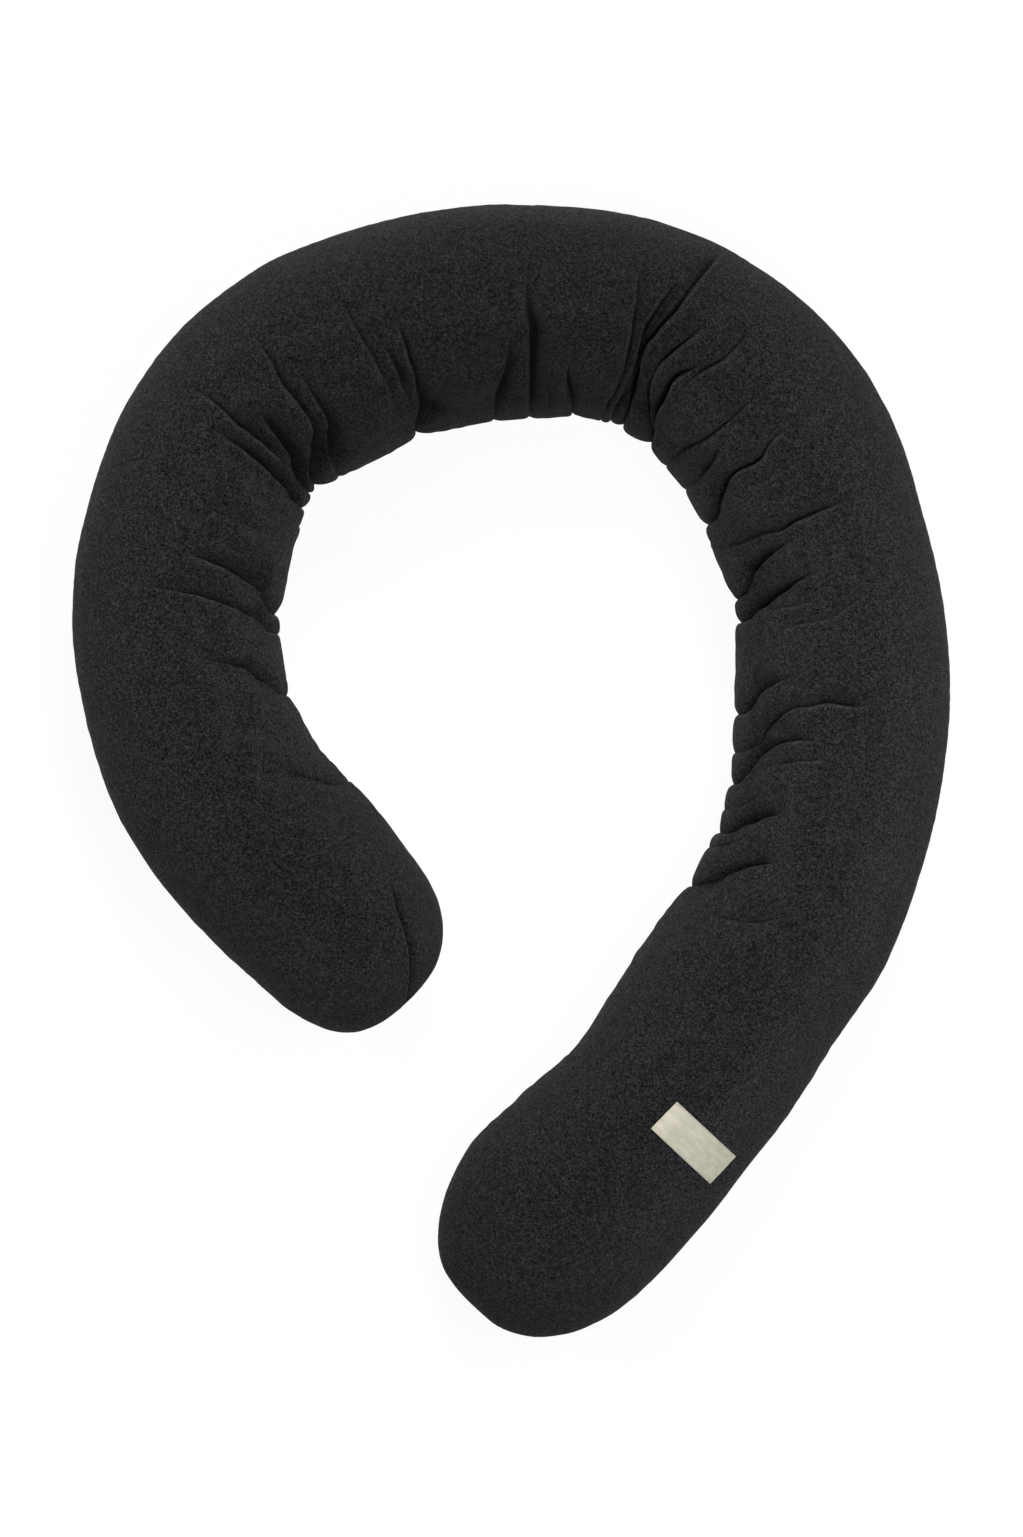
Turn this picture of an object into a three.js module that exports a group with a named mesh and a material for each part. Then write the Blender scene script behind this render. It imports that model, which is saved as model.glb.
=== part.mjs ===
// A long support cushion: one filled tube of brushed jersey, laid on its back in an open loop,
// with a bare woven label sewn on near one end.
//
// Millimetres, +Z up. The cushion lies on the plane z = 0, +Y points to the crown of the loop
// and +X to the limb that carries the label. "Along" is the distance along the tube's middle
// line from the free left end. "Across" runs from 1 at the inner edge of the loop through 0 on
// the middle line to -1 at the outer edge.
import * as THREE from 'three';

// Middle line of the tube, from the left end to the labelled end, seen from above: where it
// lies, half the tube's width there, and how high the crown stands over the floor.
// Columns: x, y, half, crown
const SECTIONS = [
  [-79, -181, 81, 116],
  [-133, -127, 79, 128],
  [-176, -80, 84, 134],
  [-219, -33, 83, 137],
  [-250, 24, 82, 138],
  [-265, 86, 82.5, 139],
  [-265, 150, 85, 140],
  [-251, 213, 83.5, 141],
  [-223, 271, 84, 142],
  [-175, 314, 88, 144],
  [-117, 343, 88, 145],
  [-56, 361, 86.5, 144],
  [8, 367, 86, 143],
  [73, 364.5, 83, 141],
  [134, 343, 84, 142],
  [185, 304, 86, 143],
  [223, 252, 86.5, 142],
  [246, 192, 84.5, 140],
  [262, 130, 83, 139],
  [265, 66, 86, 141],
  [261, 2, 84.5, 140],
  [247, -61, 82.5, 139],
  [222, -120, 85, 139],
  [186, -173, 85.5, 138],
  [151, -227, 85.5, 136],
  [113, -278, 83, 134],
  [75, -318, 88.5, 132],
  [35, -359, 89, 128],
  [-37, -425, 80, 114],
];

// The folds that the bend gathers on the inside of the loop, one row for each.
//   along   where the fold crosses the middle line
//   far     how much further along it has drifted at across = -0.6
//   half    the same at across = 0.5
//   edge    the same at across = 0.95, by the inner edge
//   reach   the across value where the fold has died out
//   depth   how deep it is drawn in at the inner edge
//   spread  half the width of its trough
//   roll    -1 where the puff before it laps over it, 1 where the puff after it does
const FOLDS = [
  [240, 0, -16, -84, 0.35, 4, 8, -1],
  [340, 0, -7, -51, 0.1, 7, 7, -1],
  [389, 0, -7, -32, -0.5, 7, 6, -1],
  [424, 0, -7, -42, -0.05, 9.5, 7, -1],
  [463, 0, -4, -25, 0.1, 3.5, 7, -1],
  [486, 0, -2, -14, 0.55, 3.5, 6, -1],
  [517, 0, -4, -21, -0.3, 6.5, 6, -1],
  [537, -3, 1, -17, -0.75, 9, 6, -1],
  [555, 0, -4, -23, -0.1, 9, 6, -1],
  [584, 0, -5, -40, -0.75, 10, 6, -1],
  [598, -3, -2, -20, -0.3, 5, 7, -1],
  [656, -5, 3, 0, -0.7, 5.5, 7, -1],
  [670, 0, 0, -6, -0.1, 6, 5, -1],
  [685, 0, -2, -12, -0.3, 12, 6, -1],
  [770, 0, -3, -15, 0.15, 5, 7, -1],
  [791, -1, 1, 0, -0.8, 9.5, 6, -1],
  [821, 0, 2, 14, 0.25, 7, 6, -1],
  [874, -5, 4, 10, -0.9, 6, 5, 1],
  [884, 8, 1, 5, -0.7, 9.5, 5, 1],
  [895, 10, -1, 8, -1, 10, 6, 1],
  [910, 6, 2, 26, -0.25, 9, 6, 1],
  [929, 0, -1, 15, 0, 8, 5, 1],
  [952, 3, -1, 0, -0.85, 4.5, 9, 1],
  [991, 2, -3, -11, -0.5, 4.5, 8, 1],
  [1026, -3, 6, 42, -0.45, 8, 7, 1],
  [1091, -1, 4, 14, -0.55, 5, 8, 1],
  [1106, 0, 5, 35, 0.15, 9.5, 6, 1],
  [1138, 0, 8, 30, -0.2, 9.5, 7, 1],
  [1165, 2, -2, 12, -0.4, 3, 8, 1],
  [1216, 0, 7, 47, 0.4, 8.5, 7, 1],
  [1248, 1, 11, 54, -0.45, 9.5, 7, 1],
  [1275, 0, 8, 50, 0.1, 9, 6, 1],
  [1318, 0, 6, 40, 0.55, 6, 6, 1],
  [1334, 0, 8, 50, 0.4, 8.5, 6, 1],
  [1364, 0, 7, 38, 0.4, 4, 7, 1],
  [1385, 0, 12, 64, 0.25, 7, 7, 1],
];

// The across values that the far, half and edge columns belong to.
const FAR = -0.6;
const HALF = 0.5;
const EDGE = 0.95;

// A fold deepens from its reach to the shoulder, the faster the lower the rise power. It keeps
// only the side share of its depth at the side, and fades out over so many degrees under it.
const SHOULDER = 0.8;
const RISE_POWER = 0.7;
const SIDE_SHARE = 0.5;
const FADE_UNDER = 70;

// Spread of a trough's two walls: the one that is lapped over is steep, the other gentle.
const STEEP = 0.7;
const GENTLE = 1.15;

// The tube's cross-section: the height of its widest line, how full the upper and the lower
// half are (2 is an ellipse), and how far the lower half is pressed flat by the floor.
const BELLY_HEIGHT = 60;
const UPPER_FULLNESS = 2.15;
const LOWER_FULLNESS = 2.5;
const FLATTENED = 7;

// The rounded ends: how long each is and how full its outline.
const LEFT_CAP = { length: 88, fullness: 2.2 };
const LABEL_CAP = { length: 103, fullness: 2.3 };

// The curved seam that closes the left end, as points seen from above, and its trough.
const END_SEAM = [
  [-97, -88],
  [-89, -107],
  [-82, -132],
  [-79, -157],
  [-82, -180],
  [-90, -195],
];
const SEAM_DEPTH = 4;
const SEAM_SPREAD = 8;

// The label, seen from above: its middle, the turn of its long side in degrees, its two sides,
// how thick it is and how far it floats over the cloth.
const LABEL = { x: 145, y: -295.5, turn: -43.3, long: 64, short: 30, thickness: 1, lift: 0.5 };

// How finely the cloth is cut into facets.
const FOLD_PITCH = 11;
const END_PITCH = 18;
const CAP_RINGS = 9;
const UPPER_STEPS = 20;
const LOWER_STEPS = 12;
const LINE_STEPS = 40;
const LABEL_COLUMNS = 9;
const LABEL_ROWS = 4;

const DEG = Math.PI / 180;
const clamp = THREE.MathUtils.clamp;
const lerp = THREE.MathUtils.lerp;
const smoothstep = THREE.MathUtils.smoothstep;

// Value at x of the straight-line graph through the sorted knots, with its ends held level.
function graph(knots, x) {
  if (x <= knots[0][0]) return knots[0][1];
  for (let i = 1; i < knots.length; i += 1) {
    const [x0, y0] = knots[i - 1];
    const [x1, y1] = knots[i];
    if (x <= x1) return lerp(y0, y1, (x - x0) / (x1 - x0));
  }
  return knots[knots.length - 1][1];
}

// The middle line as closely spaced samples, each with its distance along and its section.
function sampleMiddleLine() {
  const samples = [];
  const last = SECTIONS.length - 1;
  const row = (i) => {
    if (i < 0) return SECTIONS[0].map((value, c) => 2 * value - SECTIONS[1][c]);
    if (i > last) return SECTIONS[last].map((value, c) => 2 * value - SECTIONS[last - 1][c]);
    return SECTIONS[i];
  };
  let along = 0;
  for (let step = 0; step <= last * LINE_STEPS; step += 1) {
    const i = Math.min(Math.floor(step / LINE_STEPS), last - 1);
    const t = step / LINE_STEPS - i;
    const [p, q, r, s] = [row(i - 1), row(i), row(i + 1), row(i + 2)];
    const [x, y, half, crown] = q.map((value, c) => {
      const slope = (r[c] - p[c]) * t;
      const bend = (2 * p[c] - 5 * value + 4 * r[c] - s[c]) * t * t;
      const twist = (3 * value - p[c] - 3 * r[c] + s[c]) * t * t * t;
      return value + 0.5 * (slope + bend + twist);
    });
    const before = samples[samples.length - 1];
    if (before) along += Math.hypot(x - before.x, y - before.y);
    samples.push({ along, x, y, half, crown });
  }
  return samples;
}

const MIDDLE_LINE = sampleMiddleLine();
const LENGTH = MIDDLE_LINE[MIDDLE_LINE.length - 1].along;

// Section at a distance along the tube: its place, size and the level direction across it,
// which points to the inside of the loop.
function sectionAt(along) {
  let low = 0;
  let high = MIDDLE_LINE.length - 1;
  while (high - low > 1) {
    const middle = (low + high) >> 1;
    if (MIDDLE_LINE[middle].along <= along) low = middle;
    else high = middle;
  }
  const a = MIDDLE_LINE[low];
  const b = MIDDLE_LINE[high];
  const t = clamp((along - a.along) / (b.along - a.along), 0, 1);
  const from = MIDDLE_LINE[Math.max(low - 3, 0)];
  const to = MIDDLE_LINE[Math.min(high + 3, MIDDLE_LINE.length - 1)];
  const run = Math.hypot(to.x - from.x, to.y - from.y);
  return {
    x: lerp(a.x, b.x, t),
    y: lerp(a.y, b.y, t),
    half: lerp(a.half, b.half, t),
    crown: lerp(a.crown, b.crown, t),
    across: { x: (to.y - from.y) / run, y: -(to.x - from.x) / run },
  };
}

// How much of its full size a section keeps near an end: 0 at the tip, 1 past the cap.
function capScale(distance, cap) {
  const gone = clamp(1 - distance / cap.length, 0, 1);
  return (1 - gone ** cap.fullness) ** (1 / cap.fullness);
}

// Lean of a fold at an across value: a curve through its three stated drifts.
function leanAt([, far, half, edge], across) {
  if (across < 0) return far * (across / FAR) ** 2;
  const quartic = (edge / EDGE ** 2 - half / HALF ** 2) / (EDGE ** 2 - HALF ** 2);
  const square = half / HALF ** 2 - quartic * HALF ** 2;
  return square * across ** 2 + quartic * across ** 4;
}

// Where each fold crosses a given across value, and so how a ring line between folds runs.
function ringAlong(u, across) {
  const knots = FOLDS.map((fold) => [fold[0], leanAt(fold, across)]);
  const calm = [[LEFT_CAP.length, 0], ...knots, [LENGTH - LABEL_CAP.length * 2, 0]];
  return u + graph(calm, u);
}

// Share of its full depth that a fold has at a place. It rises from nothing at the fold's
// reach, is whole on the shoulder, shallower at the side, and fades out towards the foot.
function foldShare(across, angle, reach) {
  if (across <= reach) return 0;
  if (angle > 180) return SIDE_SHARE * clamp(1 - (360 - angle) / FADE_UNDER, 0, 1);
  const rise = clamp((across - reach) / (SHOULDER - reach), 0, 1) ** RISE_POWER;
  return rise * lerp(1, SIDE_SHARE, smoothstep(across, SHOULDER, 1));
}

// How deep the folds draw the cloth in at a place. A fold is a sharp-bottomed trough, steeper
// on the side that its neighbour laps over.
function foldDepth(along, across, angle) {
  let total = 0;
  for (const fold of FOLDS) {
    const [start, , , , reach, depth, spread, roll] = fold;
    const offset = along - (start + leanAt(fold, across));
    const width = spread * (offset * roll > 0 ? STEEP : GENTLE);
    total += depth * Math.exp(-Math.abs(offset) / width) * foldShare(across, angle, reach);
  }
  return total;
}

// Distance from a point to the end seam, both seen from above.
function seamDistance(x, y) {
  let best = Infinity;
  for (let i = 1; i < END_SEAM.length; i += 1) {
    const [x0, y0] = END_SEAM[i - 1];
    const [x1, y1] = END_SEAM[i];
    const [dx, dy] = [x1 - x0, y1 - y0];
    const t = clamp(((x - x0) * dx + (y - y0) * dy) / (dx * dx + dy * dy), 0, 1);
    best = Math.min(best, Math.hypot(x - x0 - t * dx, y - y0 - t * dy));
  }
  return best;
}

// A point of the smooth tube's surface, without folds. Angle 0 is the inner edge, 90 the
// crown, 180 the outer edge and 270 the middle of the foot.
function smoothSection(along, angle) {
  const section = sectionAt(along);
  const scale = Math.min(capScale(along, LEFT_CAP), capScale(LENGTH - along, LABEL_CAP));
  const c = Math.cos(angle * DEG);
  const s = Math.sin(angle * DEG);
  const fullness = s >= 0 ? UPPER_FULLNESS : LOWER_FULLNESS;
  const across = Math.sign(c) * Math.abs(c) ** (2 / fullness);
  const rise = Math.abs(s) ** (2 / fullness);
  const upper = section.crown - BELLY_HEIGHT;
  const lower = BELLY_HEIGHT + FLATTENED;
  return {
    section,
    across,
    side: across * section.half * scale,
    height: s >= 0 ? upper * rise * scale : -lower * rise * scale,
  };
}

// A point of the folded surface.
function surfacePoint(along, angle) {
  const { section, across, side, height } = smoothSection(along, angle);
  const radius = Math.hypot(side, height);
  let draw = foldDepth(along, across, angle);
  if (height > 0 && along < 2 * LEFT_CAP.length) {
    const x = section.x + section.across.x * side;
    const y = section.y + section.across.y * side;
    draw += SEAM_DEPTH * Math.exp(-((seamDistance(x, y) / SEAM_SPREAD) ** 2));
  }
  const keep = radius > 0 ? Math.max(1 - draw / radius, 0) : 1;
  return new THREE.Vector3(
    section.x + section.across.x * side * keep,
    section.y + section.across.y * side * keep,
    Math.max(BELLY_HEIGHT + height * keep, 0),
  );
}

// Distances along the middle line of the rings: closer at the caps and among the folds, with
// a ring on every fold.
function ringPlaces() {
  const places = [];
  const leftEnd = LEFT_CAP.length;
  const rightEnd = LENGTH - LABEL_CAP.length;
  for (let i = 1; i < CAP_RINGS; i += 1) {
    places.push(leftEnd * (1 - Math.cos((i / CAP_RINGS) * 90 * DEG)));
  }
  const stops = [leftEnd, ...FOLDS.map((fold) => fold[0]), rightEnd];
  for (let i = 1; i < stops.length; i += 1) {
    const gap = stops[i] - stops[i - 1];
    const outside = i === 1 || i === stops.length - 1;
    const pitch = outside ? END_PITCH : FOLD_PITCH;
    const count = Math.max(Math.round(gap / pitch), 2);
    for (let k = 0; k < count; k += 1) places.push(stops[i - 1] + (gap * k) / count);
  }
  for (let i = CAP_RINGS; i > 0; i -= 1) {
    places.push(LENGTH - LABEL_CAP.length * (1 - Math.cos((i / CAP_RINGS) * 90 * DEG)));
  }
  return places;
}

// Angles of the points round a ring.
function ringAngles() {
  const angles = [];
  for (let i = 0; i < UPPER_STEPS; i += 1) angles.push((180 * i) / UPPER_STEPS);
  for (let i = 0; i < LOWER_STEPS; i += 1) angles.push(180 + (180 * i) / LOWER_STEPS);
  return angles;
}

function closedGeometry(points, faces) {
  const geometry = new THREE.BufferGeometry();
  const positions = points.flatMap((point) => [point.x, point.y, point.z]);
  geometry.setAttribute('position', new THREE.Float32BufferAttribute(positions, 3));
  geometry.setIndex(faces.flat());
  geometry.computeVertexNormals();
  return geometry;
}

// The filled tube: rings of points, joined by triangles, with a point at each tip.
function cushionGeometry() {
  const angles = ringAngles();
  const count = angles.length;
  const points = [];
  const faces = [];
  const places = ringPlaces();
  for (const place of places) {
    for (const angle of angles) {
      const { across } = smoothSection(place, angle);
      points.push(surfacePoint(ringAlong(place, across), angle));
    }
  }
  const at = (ring, i) => ring * count + (i % count);
  for (let ring = 1; ring < places.length; ring += 1) {
    for (let i = 0; i < count; i += 1) {
      const [a, b] = [at(ring - 1, i), at(ring - 1, i + 1)];
      const [c, d] = [at(ring, i), at(ring, i + 1)];
      faces.push([a, d, b], [a, c, d]);
    }
  }
  const leftTip = points.push(surfacePoint(0, 0)) - 1;
  const labelTip = points.push(surfacePoint(LENGTH, 0)) - 1;
  for (let i = 0; i < count; i += 1) {
    faces.push([leftTip, at(0, i), at(0, i + 1)]);
    faces.push([labelTip, at(places.length - 1, i + 1), at(places.length - 1, i)]);
  }
  return closedGeometry(points, faces);
}

// The point of the upper surface that lies under a place seen from above.
function upperPoint(x, y) {
  let nearest = MIDDLE_LINE[0];
  for (const sample of MIDDLE_LINE) {
    const closer = Math.hypot(x - sample.x, y - sample.y) < Math.hypot(x - nearest.x, y - nearest.y);
    if (closer) nearest = sample;
  }
  const { half, across } = sectionAt(nearest.along);
  const side = ((x - nearest.x) * across.x + (y - nearest.y) * across.y) / half;
  const cosine = Math.sign(side) * Math.abs(side) ** (UPPER_FULLNESS / 2);
  return surfacePoint(nearest.along, Math.acos(clamp(cosine, -1, 1)) / DEG);
}

// The same point, raised off the surface by a height.
function liftedPoint(x, y, lift) {
  const step = 2;
  const here = upperPoint(x, y);
  const east = upperPoint(x + step, y).sub(upperPoint(x - step, y));
  const north = upperPoint(x, y + step).sub(upperPoint(x, y - step));
  return here.addScaledVector(east.cross(north).normalize(), lift);
}

// The label: a thin sheet that follows the flank.
function labelGeometry() {
  const columns = LABEL_COLUMNS;
  const rows = LABEL_ROWS;
  const points = [];
  const faces = [];
  const origin = new THREE.Vector2(0, 0);
  for (const lift of [LABEL.lift, LABEL.lift + LABEL.thickness]) {
    for (let row = 0; row <= rows; row += 1) {
      for (let column = 0; column <= columns; column += 1) {
        const place = new THREE.Vector2(column / columns - 0.5, row / rows - 0.5);
        place.multiply(new THREE.Vector2(LABEL.long, LABEL.short));
        place.rotateAround(origin, LABEL.turn * DEG);
        points.push(liftedPoint(LABEL.x + place.x, LABEL.y + place.y, lift));
      }
    }
  }
  const layer = (rows + 1) * (columns + 1);
  const at = (top, row, column) => top * layer + row * (columns + 1) + column;
  for (let row = 0; row < rows; row += 1) {
    for (let column = 0; column < columns; column += 1) {
      const low = [at(0, row, column), at(0, row, column + 1)];
      low.push(at(0, row + 1, column + 1), at(0, row + 1, column));
      const high = low.map((index) => index + layer);
      faces.push([low[0], low[2], low[1]], [low[0], low[3], low[2]]);
      faces.push([high[0], high[1], high[2]], [high[0], high[2], high[3]]);
    }
  }
  const rim = [];
  for (let column = 0; column < columns; column += 1) rim.push(at(0, 0, column));
  for (let row = 0; row < rows; row += 1) rim.push(at(0, row, columns));
  for (let column = columns; column > 0; column -= 1) rim.push(at(0, rows, column));
  for (let row = rows; row > 0; row -= 1) rim.push(at(0, row, 0));
  rim.forEach((index, i) => {
    const next = rim[(i + 1) % rim.length];
    faces.push([index, next, next + layer], [index, next + layer, index + layer]);
  });
  return closedGeometry(points, faces);
}

function namedMesh(name, geometry, color, roughness) {
  const material = new THREE.MeshStandardMaterial({ color, roughness, metalness: 0 });
  const mesh = new THREE.Mesh(geometry, material);
  mesh.name = name;
  return mesh;
}

const cushion = new THREE.Group();
cushion.add(namedMesh('cushion', cushionGeometry(), '#2a2a2c', 0.95));
cushion.add(namedMesh('label', labelGeometry(), '#cbc7b4', 0.8));

export default cushion;
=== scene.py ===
import bpy
import numpy as np
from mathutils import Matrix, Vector, noise
from mathutils.bvhtree import BVHTree


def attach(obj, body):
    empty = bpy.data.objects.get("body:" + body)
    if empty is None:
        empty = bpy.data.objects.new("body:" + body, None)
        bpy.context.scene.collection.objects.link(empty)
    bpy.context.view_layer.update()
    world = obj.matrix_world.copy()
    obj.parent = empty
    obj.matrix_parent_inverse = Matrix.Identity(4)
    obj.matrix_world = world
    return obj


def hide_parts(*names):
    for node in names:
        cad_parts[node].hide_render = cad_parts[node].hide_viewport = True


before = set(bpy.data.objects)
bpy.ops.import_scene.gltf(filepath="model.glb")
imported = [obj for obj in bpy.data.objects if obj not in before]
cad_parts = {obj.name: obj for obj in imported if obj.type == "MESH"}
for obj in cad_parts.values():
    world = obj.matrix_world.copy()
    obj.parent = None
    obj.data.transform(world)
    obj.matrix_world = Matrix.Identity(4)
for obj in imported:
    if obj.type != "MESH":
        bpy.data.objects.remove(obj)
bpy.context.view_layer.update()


# The cover and its filling: a long tube of charcoal brushed jersey, loosely filled and laid on
# its back in an open loop. The tube is sewn straight, so the bend gathers the slack on the inside
# of the loop into folds. The filling is simulated as pressure inside the cloth.

# Millimetres. The tube's middle line from the free left end to the labelled end: where it lies,
# half the tube's width there, and how high its crown stands. Places and widths follow the
# outline in the photo; the heights are guessed.
# Columns: x, y, half, crown
COURSE = [
    (-79, -181, 81, 116),
    (-133, -127, 79, 128),
    (-176, -80, 84, 134),
    (-219, -33, 83, 137),
    (-250, 24, 82, 138),
    (-265, 86, 82.5, 139),
    (-265, 150, 85, 140),
    (-251, 213, 83.5, 141),
    (-223, 271, 84, 142),
    (-175, 314, 88, 144),
    (-117, 343, 88, 145),
    (-56, 361, 86.5, 144),
    (8, 367, 86, 143),
    (73, 364.5, 83, 141),
    (134, 343, 84, 142),
    (185, 304, 86, 143),
    (223, 252, 86.5, 142),
    (246, 192, 84.5, 140),
    (262, 130, 83, 139),
    (265, 66, 86, 141),
    (261, 2, 84.5, 140),
    (247, -61, 82.5, 139),
    (222, -120, 85, 139),
    (186, -173, 85.5, 138),
    (151, -227, 85.5, 136),
    (113, -278, 83, 134),
    (75, -318, 88.5, 132),
    (35, -359, 89, 128),
    (-37, -425, 80, 114),
]

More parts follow.
